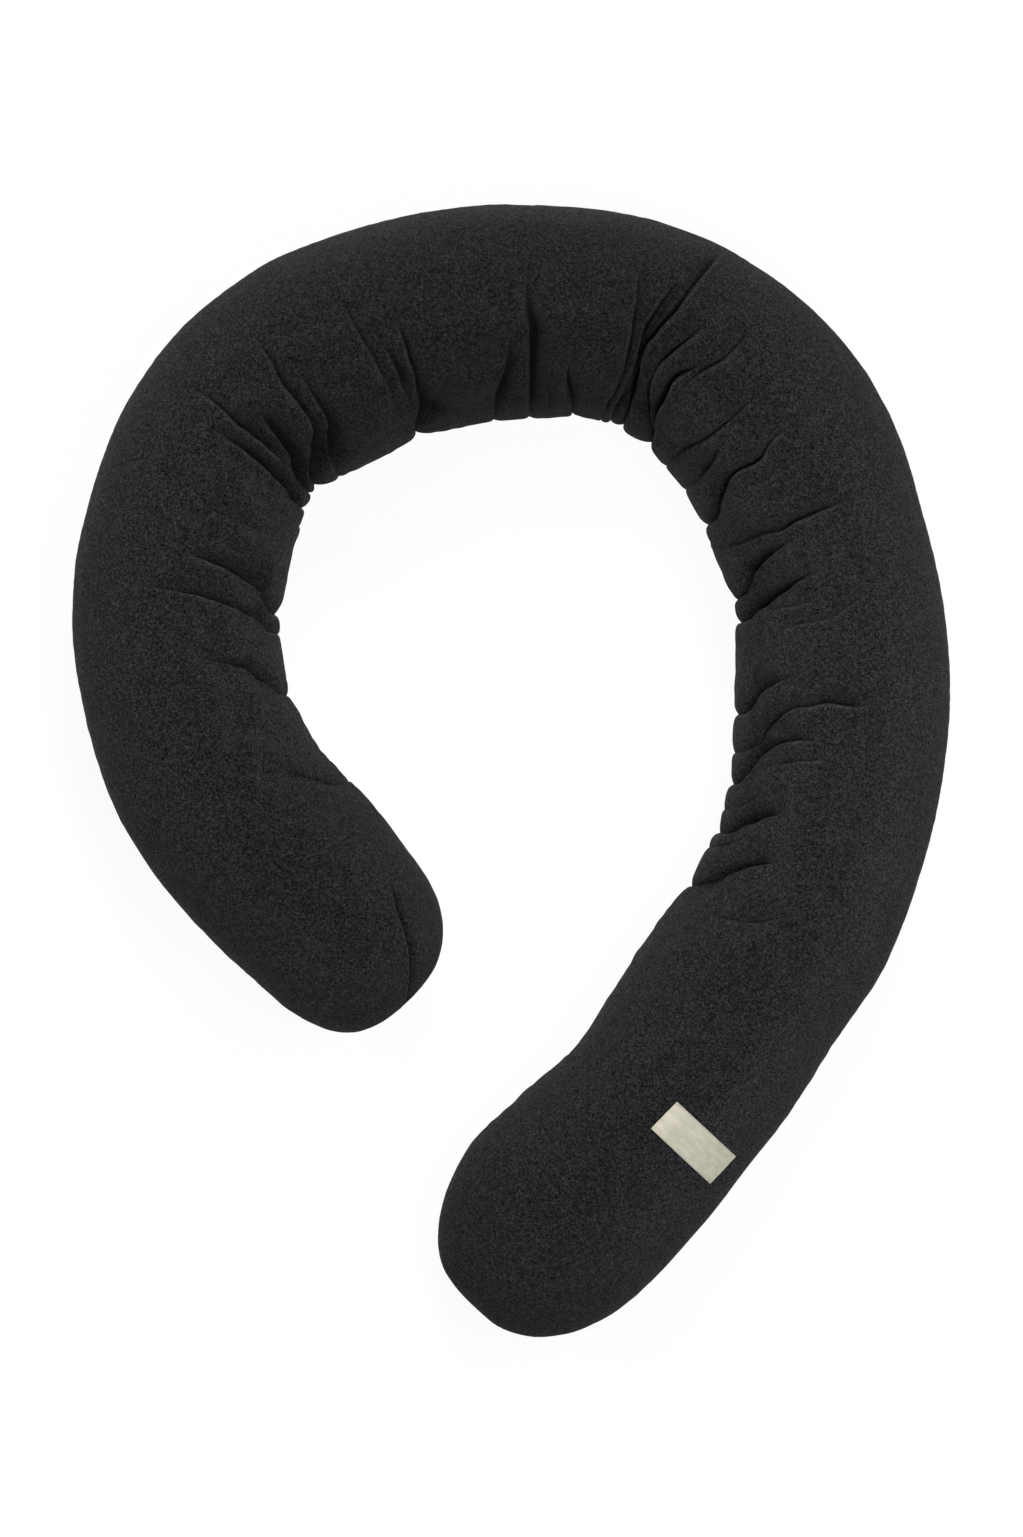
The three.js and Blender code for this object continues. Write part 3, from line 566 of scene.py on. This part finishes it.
# At the end seam painted shade darkens the stitched groove and a painted highlight lightens the edge
# beside it.
PAINTED_SEAM_SHADE, SEAM_SHADE_WIDE, SEAM_SHADE_STEEP = 0.9, 1.3 * MM, 0.6 * MM
PAINTED_SEAM_LIGHT, SEAM_LIGHT_AWAY, SEAM_LIGHT_WIDE = 0.7, 1.6 * MM, 0.8 * MM

# The lumps that the filling leaves in the cloth.
# Columns: size, height
LUMPS = [(75 * MM, 1.2 * MM), (28 * MM, 0.4 * MM)]
# Millimetres: places on the outline where the filling stands out a little more or less.
# Columns: x, y, height
SETTLED = [(-124, -206, 3.5), (-31, -430, -2.5), (-25, -292, 2.5), (161, -345, 2), (-190, 404, 2)]
SETTLED_REACH = 30
# Faint pulls run across the tube from the folds, strongest on the inside of the bend.
# Columns: spacing, weight
PULLS = [(26 * MM, 1.0), (13 * MM, 0.45)]
PULL_HEIGHT = 3.4 * MM
# They start and end at distances along, growing over so much, and grow from one across value on.
# Last, how fast a pull changes across the tube.
PULLS_START, PULLS_END, PULLS_GROW = 150 * MM, 1520 * MM, 120 * MM
PULLS_FROM, PULLS_OVER, PULL_CHANGE = -0.9, 1.4, 0.8
# All this fades out from this height down to the floor.
FOOT_FADE = 25 * MM

flat = np.empty(len(cover_mesh.vertices) * 3, np.float32)
cover_mesh.attributes["station"].data.foreach_get("vector", flat)
station = flat.reshape(-1, 3).astype(float)
grain = np.empty(len(cover_mesh.vertices), np.float32)
cover_mesh.attributes["grain"].data.foreach_get("value", grain)
along, angle = station[:, 0], np.arctan2(station[:, 2], station[:, 1])
across = section_place(along, angle)[0]
x, y, hx, hy = middle_place(along)
forward = np.column_stack([hx, hy, np.zeros_like(hx)])
flat = np.empty(len(cover_mesh.vertices) * 3, np.float32)
cover_mesh.vertex_normals.foreach_get("vector", flat)
outward = flat.reshape(-1, 3).astype(float)
core = np.column_stack([x, y, np.full_like(x, BELLY)])
place = mesh_points(cover_mesh)
inward = core - place
inward /= np.maximum(np.linalg.norm(inward, axis=1), TINY)[:, None]

share = side_share(across, angle)
sink = DEPTH_FILLED * fold_draw(along, across, angle)
slide = np.zeros_like(along)
# Painted highlight close to the widest line, and painted shade where the tube runs along x, most of
# all on the inner side.
rim_light_share = np.clip((np.abs(across) - PAINTED_RIM_FROM) / (1 - PAINTED_RIM_FROM), 0, 1) ** 3
painted_light_and_shade = 1 + PAINTED_RIM_LIGHT * rim_light_share
painted_light_and_shade *= PAINTED_TONE_ALONG_Y + PAINTED_TONE_LEAN * hx - PAINTED_SHADE_ALONG_X * hx**2 - PAINTED_SHADE_INSIDE * hx**4 * np.clip(across, 0, 1)
for fold in folds:
    offset, width, size = beside(fold, along, across)
    cut = np.where(offset > 0, run_beside(width, CUT_SLOPE_RUN), CUT_LAP)
    cut += CUT_SOFT * side_soft(across)
    valley = np.exp(-((offset / run_beside(width, VALLEY_RUN)) ** 2))
    sink += size * share * (CUT_DEPTH * np.exp(-np.abs(offset) / cut) + VALLEY_DEPTH * valley)
    past = np.maximum(-offset - LAP_EDGE, 0) / run_beside(width, LAP_PAST_RUN)
    slide -= fold[0] * LAP_PUSH * size * np.clip(-offset / LAP_EDGE, 0, 1) * np.exp(-(past**2))
    # Painted shade in the cut and the valley of each crease, and a painted highlight on the lap's
    # rolled edge.
    strong = np.clip(size / PAINTED_FULL_SIZE, 0, 1) * np.clip(1 + angle / FADE_UNDER, 0, 1)
    shade_reach = np.where(offset > 0, run_beside(width, CREASE_SHADE_RUN), CREASE_SHADE_LAP)
    crease_shade = np.exp(-np.abs(offset) / shade_reach)
    edge_light = np.exp(-(((offset + EDGE_LIGHT_AWAY + EDGE_LIGHT_SHARE * width) / EDGE_LIGHT_WIDE) ** 2))
    painted_light_and_shade *= (1 - PAINTED_CREASE_SHADE * strong * crease_shade) * (1 + PAINTED_EDGE_LIGHT * strong * edge_light)
    painted_light_and_shade *= 1 - PAINTED_VALLEY_SHADE * strong * valley

along_seam, aside, beyond = seam_offsets(place)
near_seam = (np.abs(aside) < SEAM_REACH) & (along < LEFT_END_ALONG) & (angle > 0)
fade = np.exp(-((beyond / SEAM_TIPS) ** 2))
fade *= np.clip((along_seam + SEAM_BEFORE) / SEAM_GROWS, 0, 1)
wide = SEAM_WIDE * (SEAM_NARROW + along_seam / seam_run[-1])
groove = np.exp(-np.abs(aside) / np.where(aside > 0, wide, SEAM_STEEP))
sway = PUCKER_SWAY * np.sin(along_seam / PUCKER_SWAY_PITCH)
pucker = np.sin(along_seam / PUCKER_PITCH * 2 * np.pi + sway)
pucker *= np.exp(-np.abs(aside) / PUCKER_REACH) * PUCKER_HEIGHT
seam_sink = near_seam * fade * (SEAM_DEPTH * groove + pucker)
# Painted shade in the seam's groove and a painted highlight on the edge beside it.
seam_shade = np.exp(-np.abs(aside) / np.where(aside > 0, SEAM_SHADE_WIDE, SEAM_SHADE_STEEP))
edge = np.exp(-(((aside + SEAM_LIGHT_AWAY) / SEAM_LIGHT_WIDE) ** 2))
painted_light_and_shade *= 1 + near_seam * fade * (PAINTED_SEAM_LIGHT * edge - PAINTED_SEAM_SHADE * seam_shade)

lump = np.zeros_like(along)
for wave, height in LUMPS:
    lump += height * np.array([noise.noise(Vector(row) / wave) for row in place])
bend = np.clip(np.minimum(grain - PULLS_START, PULLS_END - grain) / PULLS_GROW, 0, 1)
pulled = PULL_HEIGHT * bend * np.clip((across - PULLS_FROM) / PULLS_OVER, 0, 1) * share
for wave, weight in PULLS:
    ripple = [noise.noise(Vector((run / wave, side * PULL_CHANGE, wave / MM)))
              for run, side in zip(grain, across)]
    lump += weight * pulled * np.array(ripple)
for spot_x, spot_y, height in SETTLED:
    apart = np.hypot(place[:, 0] / MM - spot_x, place[:, 1] / MM - spot_y)
    lump += height * MM * np.exp(-((apart / SETTLED_REACH) ** 2))
above_foot = np.clip(place[:, 2] / FOOT_FADE, 0, 1)
place += outward * (lump * above_foot - seam_sink)[:, None]
place += inward * (sink * above_foot)[:, None]
place += forward * (slide * share * above_foot)[:, None]
place[:, 2] = np.maximum(place[:, 2], 0)
move_points(cover_mesh, place)
for name in ("station", "grain"):
    cover_mesh.attributes.remove(cover_mesh.attributes[name])
# The painted light and shade is kept on the cover's points for its colour.
kept = cover_mesh.attributes.new("painted_light_and_shade", "FLOAT", "POINT")
kept.data.foreach_set("value", painted_light_and_shade.astype(np.float32))
make_active(cover)
bpy.ops.object.shade_smooth()


def shader(material):
    """The material's node tree and its Principled node."""
    material.use_nodes = True
    tree = material.node_tree
    return tree, tree.nodes["Principled BSDF"]


def add_node(tree, kind, **values):
    """A new node with some of its properties and sockets set."""
    node = tree.nodes.new(kind)
    for name, value in values.items():
        if name in node.bl_rna.properties:
            setattr(node, name, value)
        else:
            node.inputs[name.replace("_", " ").title()].default_value = value
    return node


def scaled(tree, source, low, high, to_low, to_high, **kind):
    """A value moved from one range to another, held inside it."""
    node = add_node(tree, "ShaderNodeMapRange", **kind)
    for name, value in zip(("From Min", "From Max", "To Min", "To Max"), (low, high, to_low, to_high)):
        node.inputs[name].default_value = value
    tree.links.new(source, node.inputs["Value"])
    return node.outputs["Result"]


def combined(tree, operation, first, second):
    """Two values added, multiplied and so on; either may be a plain number."""
    node = add_node(tree, "ShaderNodeMath", operation=operation)
    for socket, value in zip(node.inputs, (first, second)):
        if isinstance(value, float):
            socket.default_value = value
        else:
            tree.links.new(value, socket)
    return node.outputs[0]


# The fibres of the jersey, in three sets.
# Columns: shift of the pattern, its scale to the metre, half width of a line in the noise
LONG_FIBRES, SHORT_FIBRES, DARK_FIBRES = (0.0, 450.0, 0.1), (3.1, 600.0, 0.12), (7.3, 500.0, 0.13)
# How much the short ones count beside the long ones, and the light and the dark ones in all.
SHORT_SHARE, LIGHT_GAIN, DARK_GAIN = 0.9, 5.2, 1.3
# A pattern shifts by unequal shares in x, y and z, and its lines curl and break up: how strongly,
# the scale of the breaks beside theirs, the noise over which a line breaks, and what is left of it.
SHIFT_SHARES = (1.0, 0.7, 1.3)
CURL, BREAK_SCALE = 0.9, 0.9
BREAK_FROM, BREAK_TO, BREAK_LEFT = 0.4, 0.52, 0.4
# The mottled ground under the fibres: its scale to the metre, its tones, and the darkest tone of
# all. Then the colour that the tones multiply.
MOTTLE_SCALE, MOTTLE_DARK, MOTTLE_LIGHT, DARKEST = 75.0, 0.1, 0.2, 0.06
JERSEY_COLOUR = (0.0109, 0.0108, 0.0121)
# Noise keeps mostly between these two values.
NOISE_LOW, NOISE_HIGH = 0.3, 0.7


def curled_lines(tree, place, shift, scale, width):
    """Thin curled lines, 1 on the line and 0 beside it, broken into short lengths."""
    moved = add_node(tree, "ShaderNodeVectorMath", operation="ADD")
    moved.inputs[1].default_value = [shift * share for share in SHIFT_SHARES]
    tree.links.new(place, moved.inputs[0])
    swirl = add_node(tree, "ShaderNodeTexNoise", scale=scale, detail=1.0, distortion=CURL)
    breaks = add_node(tree, "ShaderNodeTexNoise", scale=scale * BREAK_SCALE, detail=0.0)
    tree.links.new(moved.outputs[0], swirl.inputs["Vector"])
    tree.links.new(place, breaks.inputs["Vector"])
    off_line = combined(tree, "ABSOLUTE", combined(tree, "SUBTRACT", swirl.outputs["Fac"], 0.5), 0.0)
    on_line = scaled(tree, off_line, 0.0, width, 1.0, 0.0, interpolation_type="SMOOTHSTEP")
    length = scaled(tree, breaks.outputs["Fac"], BREAK_FROM, BREAK_TO, BREAK_LEFT, 1.0)
    return combined(tree, "MULTIPLY", on_line, length)


def jersey():
    """Charcoal melange jersey with a brushed pile: curled light and dark fibres over a mottled ground,
    its colour multiplied by the light and shade painted on the cover's points."""
    material = bpy.data.materials.new("charcoal_jersey")
    tree, cloth = shader(material)
    place = add_node(tree, "ShaderNodeTexCoord").outputs["Object"]
    long = curled_lines(tree, place, *LONG_FIBRES)
    short = combined(tree, "MULTIPLY", curled_lines(tree, place, *SHORT_FIBRES), SHORT_SHARE)
    light = combined(tree, "ADD", long, short)
    dark = curled_lines(tree, place, *DARK_FIBRES)
    mottle = add_node(tree, "ShaderNodeTexNoise", scale=MOTTLE_SCALE, detail=3.0)
    tree.links.new(place, mottle.inputs["Vector"])
    tones = (NOISE_LOW, NOISE_HIGH, MOTTLE_DARK, MOTTLE_LIGHT)
    ground = scaled(tree, mottle.outputs["Fac"], *tones)
    fibres = combined(tree, "SUBTRACT", combined(tree, "MULTIPLY", light, LIGHT_GAIN),
                      combined(tree, "MULTIPLY", dark, DARK_GAIN))
    strength = combined(tree, "MAXIMUM", combined(tree, "ADD", ground, fibres), DARKEST)
    colour = add_node(tree, "ShaderNodeVectorMath", operation="SCALE")
    colour.inputs[0].default_value = JERSEY_COLOUR
    # The painted light and shade on the cover's points multiplies the colour.
    painted_light_and_shade = add_node(tree, "ShaderNodeAttribute", attribute_name="painted_light_and_shade")
    tree.links.new(combined(tree, "MULTIPLY", strength, painted_light_and_shade.outputs["Fac"]), colour.inputs["Scale"])
    tree.links.new(colour.outputs[0], cloth.inputs["Base Color"])
    raised = add_node(tree, "ShaderNodeBump")
    raised.inputs["Strength"].default_value = 0.8
    raised.inputs["Distance"].default_value = 0.0006
    tree.links.new(fibres, raised.inputs["Height"])
    tree.links.new(raised.outputs["Normal"], cloth.inputs["Normal"])
    cloth.inputs["Roughness"].default_value = 1.0
    cloth.inputs["Specular IOR Level"].default_value = 0.15
    cloth.inputs["Sheen Weight"].default_value = 0.07
    cloth.inputs["Sheen Roughness"].default_value = 0.27
    cloth.inputs["Sheen Tint"].default_value = (0.75, 0.77, 0.82, 1)
    return material


cover_mesh.materials.append(jersey())
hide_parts("cushion")
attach(cover, "root")


# The label: a small blank ribbon, plain woven in ecru yarn, cut to length and fixed flat on the
# cushion's flank near the lower end. No stitches of it show.
LABEL_MIDDLE = (145 * MM, -295.5 * MM)
LABEL_TURN = np.radians(-43.3)
LABEL_LONG, LABEL_SHORT = 64 * MM, 30 * MM
LABEL_THICK, LABEL_LIFT = 1.0 * MM, 0.4 * MM
LABEL_COLUMNS, LABEL_ROWS = 48, 22
LABEL_CREASED = np.radians(50)

depsgraph = bpy.context.evaluated_depsgraph_get()
cloth_below = BVHTree.FromObject(cover, depsgraph)
label_way = np.array([np.cos(LABEL_TURN), np.sin(LABEL_TURN)])
label_side = np.array([-np.sin(LABEL_TURN), np.cos(LABEL_TURN)])
ribbon = []
for lift in (LABEL_LIFT, LABEL_LIFT + LABEL_THICK):
    for row in range(LABEL_ROWS + 1):
        for column in range(LABEL_COLUMNS + 1):
            spot = np.array(LABEL_MIDDLE) + label_way * LABEL_LONG * (column / LABEL_COLUMNS - 0.5)
            spot = spot + label_side * LABEL_SHORT * (row / LABEL_ROWS - 0.5)
            hit, normal = cloth_below.ray_cast(Vector((*spot, 1)), Vector((0, 0, -1)))[:2]
            ribbon.append(hit + normal * lift)
layer = (LABEL_ROWS + 1) * (LABEL_COLUMNS + 1)


def ribbon_point(row, column):
    """Index of a point of the ribbon's lower face."""
    return row * (LABEL_COLUMNS + 1) + column


ribbon_faces = []
for row in range(LABEL_ROWS):
    for column in range(LABEL_COLUMNS):
        low = [ribbon_point(row, column), ribbon_point(row, column + 1)]
        low += [ribbon_point(row + 1, column + 1), ribbon_point(row + 1, column)]
        ribbon_faces.append(low[::-1])
        ribbon_faces.append([index + layer for index in low])
rim = [ribbon_point(0, column) for column in range(LABEL_COLUMNS)]
rim += [ribbon_point(row, LABEL_COLUMNS) for row in range(LABEL_ROWS)]
rim += [ribbon_point(LABEL_ROWS, column) for column in range(LABEL_COLUMNS, 0, -1)]
rim += [ribbon_point(row, 0) for row in range(LABEL_ROWS, 0, -1)]
for index, after in zip(rim, rim[1:] + rim[:1]):
    ribbon_faces.append([index, after, after + layer, index + layer])
label_mesh = bpy.data.meshes.new("woven_label")
label_mesh.from_pydata(ribbon, [], ribbon_faces)
label = bpy.data.objects.new("woven_label", label_mesh)
bpy.context.scene.collection.objects.link(label)
make_active(label)
bpy.ops.object.shade_smooth_by_angle(angle=LABEL_CREASED)

# The weave: spacing of the ribs along the ribbon and of the picks across it, and how high a pick
# stands beside a rib. The yarn: scale of its unevenness to the metre, that scale's share in x, y
# and z, which draws it out along the ribbon, and its tones. The selvedge: how far from the
# ribbon's edge it starts and is full, and its tone. Last, how much the ribs and picks show in the
# colour, and the colour.
RIB_PITCH, PICK_PITCH, PICK_SHARE = 1.5 * MM, 0.9 * MM, 0.5
YARN_SCALE, YARN_STRETCH = 260.0, (0.25, 1.0, 1.0)
YARN_DARK, YARN_LIGHT = 0.86, 1.06
SELVEDGE_START, SELVEDGE_END, SELVEDGE_TONE = 1.6 * MM, 0.9 * MM, 0.84
RELIEF_TONE = 0.025
RIBBON_COLOUR = (0.6, 0.57, 0.46)


def ribbon_weave():
    """Ecru ribbon with fine ribs along it, uneven yarn and a darker selvedge."""
    material = bpy.data.materials.new("ecru_ribbon")
    tree, weave = shader(material)
    turned = add_node(tree, "ShaderNodeMapping", vector_type="TEXTURE")
    turned.inputs["Location"].default_value = (*LABEL_MIDDLE, 0)
    turned.inputs["Rotation"].default_value = (0, 0, LABEL_TURN)
    tree.links.new(add_node(tree, "ShaderNodeTexCoord").outputs["Object"], turned.inputs["Vector"])
    place = turned.outputs[0]
    parts = add_node(tree, "ShaderNodeSeparateXYZ")
    tree.links.new(place, parts.inputs[0])
    rib_turn = combined(tree, "MULTIPLY", parts.outputs["Y"], 2 * np.pi / RIB_PITCH)
    ribs = combined(tree, "SINE", rib_turn, 0.0)
    pick_turn = combined(tree, "MULTIPLY", parts.outputs["X"], 2 * np.pi / PICK_PITCH)
    picks = combined(tree, "SINE", pick_turn, 0.0)
    yarn = add_node(tree, "ShaderNodeTexNoise", scale=YARN_SCALE, detail=2.0)
    stretched = add_node(tree, "ShaderNodeMapping")
    stretched.inputs["Scale"].default_value = YARN_STRETCH
    tree.links.new(place, stretched.inputs["Vector"])
    tree.links.new(stretched.outputs[0], yarn.inputs["Vector"])
    relief = combined(tree, "ADD", ribs, combined(tree, "MULTIPLY", picks, PICK_SHARE))
    from_middle = combined(tree, "ABSOLUTE", parts.outputs["Y"], 0.0)
    edge = scaled(tree, from_middle, LABEL_SHORT / 2 - SELVEDGE_START,
                  LABEL_SHORT / 2 - SELVEDGE_END, 1.0, SELVEDGE_TONE)
    tones = (NOISE_LOW, NOISE_HIGH, YARN_DARK, YARN_LIGHT)
    uneven = scaled(tree, yarn.outputs["Fac"], *tones)
    tone = combined(tree, "ADD", uneven, combined(tree, "MULTIPLY", relief, RELIEF_TONE))
    colour = add_node(tree, "ShaderNodeVectorMath", operation="SCALE")
    colour.inputs[0].default_value = RIBBON_COLOUR
    tree.links.new(combined(tree, "MULTIPLY", tone, edge), colour.inputs["Scale"])
    tree.links.new(colour.outputs[0], weave.inputs["Base Color"])
    raised = add_node(tree, "ShaderNodeBump")
    raised.inputs["Strength"].default_value = 0.5
    raised.inputs["Distance"].default_value = 0.0002
    tree.links.new(relief, raised.inputs["Height"])
    tree.links.new(raised.outputs["Normal"], weave.inputs["Normal"])
    weave.inputs["Roughness"].default_value = 0.8
    return material


label_mesh.materials.append(ribbon_weave())
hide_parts("label")
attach(label, "root")


# The floor, the light and the camera: a white floor that glows, as a light table does, a pale sky
# that is brighter on the window side, and four soft lamps. The camera looks straight down.
FLOOR_SIDE, FLOOR_DROP = 12.0, 0.5 * MM
bpy.ops.object.select_all(action="DESELECT")
bpy.ops.mesh.primitive_plane_add(size=FLOOR_SIDE, location=(0, 0, -FLOOR_DROP))
floor = bpy.context.object
floor.name = "floor"
paper = bpy.data.materials.new("white_floor")
paper_tree, paper_shader = shader(paper)
paper_shader.inputs["Base Color"].default_value = (0.1, 0.1, 0.1, 1)
paper_shader.inputs["Roughness"].default_value = 1.0
paper_shader.inputs["Specular IOR Level"].default_value = 0.0
paper_shader.inputs["Emission Color"].default_value = (1, 1, 1, 1)
paper_shader.inputs["Emission Strength"].default_value = 0.93
floor.data.materials.append(paper)

# The sky: brightest towards the window side and dim on the other side.
SKY_DIM, SKY_BRIGHT = 0.02, 0.28
WINDOW_SIDE = (0.15, 0.95, 0.27)
world = bpy.data.worlds.new("studio")
world.use_nodes = True
bpy.context.scene.world = world
sky = world.node_tree.nodes["Background"]
sky.inputs["Color"].default_value = (1, 1, 1, 1)
towards = add_node(world.node_tree, "ShaderNodeVectorMath", operation="DOT_PRODUCT")
towards.inputs[1].default_value = WINDOW_SIDE
looking = add_node(world.node_tree, "ShaderNodeTexCoord").outputs["Generated"]
world.node_tree.links.new(looking, towards.inputs[0])
level = scaled(world.node_tree, towards.outputs["Value"], -1.0, 1.0, SKY_DIM, SKY_BRIGHT)
world.node_tree.links.new(level, sky.inputs["Strength"])

# Metres and watts. Soft round lamps, all aimed at the middle of the loop.
# Columns: name, place, size, watts
LAMPS = [
    ("window_lamp", (0.4, 5.9, 4.9), 3.0, 300),
    ("upper_lamp", (0.5, -0.3, 1.3), 0.9, 10),
    ("right_lamp", (2.5, 0.3, 2.0), 2.0, 3),
    ("left_lamp", (-2.7, 0.4, 1.5), 2.0, 28),
]
LAMPS_AIM = (0, 0, 0.05)
for name, place, size, watts in LAMPS:
    lamp = bpy.data.lights.new(name, "AREA")
    lamp.shape = "DISK"
    lamp.size = size
    lamp.energy = watts
    lamp_object = bpy.data.objects.new(name, lamp)
    lamp_object.location = place
    aim = Vector(LAMPS_AIM) - Vector(place)
    lamp_object.rotation_euler = aim.to_track_quat("-Z", "Y").to_euler()
    lamp_object.visible_camera = False
    bpy.context.scene.collection.objects.link(lamp_object)

# The photograph: its height in pixels, how many millimetres a pixel spans at the height of the
# tube's widest line, and where its middle lies. The camera stands so far above that line.
PHOTO_HEIGHT, PIXEL = 1537, 0.8
PHOTO_MIDDLE = (0.4 * MM, 2.0 * MM)
FRAME_HEIGHT = PHOTO_HEIGHT * PIXEL * MM
CAMERA_ABOVE, CAMERA_CLIP = 12.0, 50
SENSOR = 36.0
lens = bpy.data.cameras.new("camera")
lens.sensor_width = SENSOR
lens.lens = SENSOR * CAMERA_ABOVE / FRAME_HEIGHT
lens.clip_end = CAMERA_CLIP
camera = bpy.data.objects.new("camera", lens)
camera.location = (*PHOTO_MIDDLE, BELLY + CAMERA_ABOVE)
bpy.context.scene.collection.objects.link(camera)
bpy.context.scene.camera = camera
bpy.context.scene.view_settings.view_transform = "Standard"
